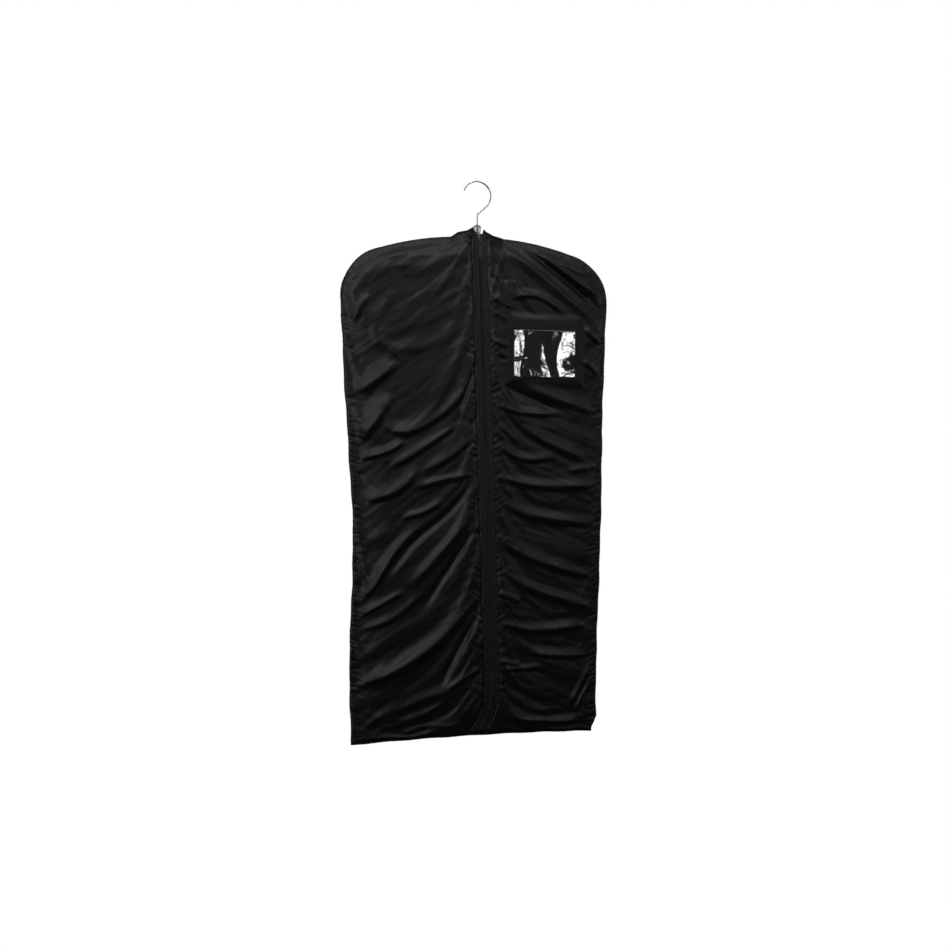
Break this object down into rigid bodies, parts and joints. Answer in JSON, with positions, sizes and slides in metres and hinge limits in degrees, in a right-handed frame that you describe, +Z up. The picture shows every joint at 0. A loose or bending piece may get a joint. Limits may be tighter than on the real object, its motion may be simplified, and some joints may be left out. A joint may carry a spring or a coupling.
{
  "type": "garment bag",
  "caption": "Hanging black cloth garment bag on a clear hanger with a swivel hook, a full-length zipper down the front and a clear card pocket.",
  "frame": {"origin": "the point inside the crown of the hook where the hanging rod touches it", "axes": "+Z up along the hanging direction, the zipped front faces -Y, +X to the viewer's right"},
  "size_m": [0.6068, 0.0407, 1.2196],
  "materials": {
    "hook_metal": "polished pale gold",
    "clear_plastic": "clear, glossy",
    "shell_cloth": "thin silky black nylon",
    "binding_cloth": "black woven tape",
    "zipper_tape": "black woven zipper tape",
    "zipper_coil": "black nylon coil",
    "slider_metal": "black enamel",
    "clear_vinyl": "clear, glossy, creased",
    "black_vinyl": "black, smooth"
  },
  "bodies": {
    "hook": {"hook": "hook_metal", "hook_retainer": "hook_metal"},
    "bag": {"hanger_body": "clear_plastic", "front_panel_left": "shell_cloth", "front_panel_right": "shell_cloth", "back_panel": "shell_cloth", "side_binding_left": "binding_cloth", "side_binding_right": "binding_cloth", "hem_binding": "binding_cloth", "neck_hem_left": "binding_cloth", "neck_hem_right": "binding_cloth", "neck_hem_back": "binding_cloth", "zipper_tape_left": "zipper_tape", "zipper_tape_right": "zipper_tape", "zipper_coil_left": "zipper_coil", "zipper_coil_right": "zipper_coil", "zipper_top_stop_left": "slider_metal", "zipper_top_stop_right": "slider_metal", "zipper_bottom_stop": "slider_metal", "card_backing": "black_vinyl", "card_window": "clear_vinyl", "card_frame": "black_vinyl", "card_weld": "clear_vinyl"},
    "slider": {"slider_body": "slider_metal", "slider_crown": "slider_metal"},
    "pull": {"pull_tab": "slider_metal"}
  },
  "joints": [
    {"name": "hook_swivel", "type": "hinge", "parent": "hook", "child": "bag", "pos_m": [0, 0, -0.1], "axis": [0, 0, 1], "continuous": true},
    {"name": "slider_travel", "type": "slide", "parent": "bag", "child": "slider", "axis": [0.0297, 0, -0.9996], "range_m": [0, 0.955]},
    {"name": "pull_tab_swing", "type": "hinge", "parent": "slider", "child": "pull", "pos_m": [0.00039, -0.02295, -0.13499], "axis": [-0.9996, 0, -0.0297], "range_deg": [0, 170]}
  ]
}
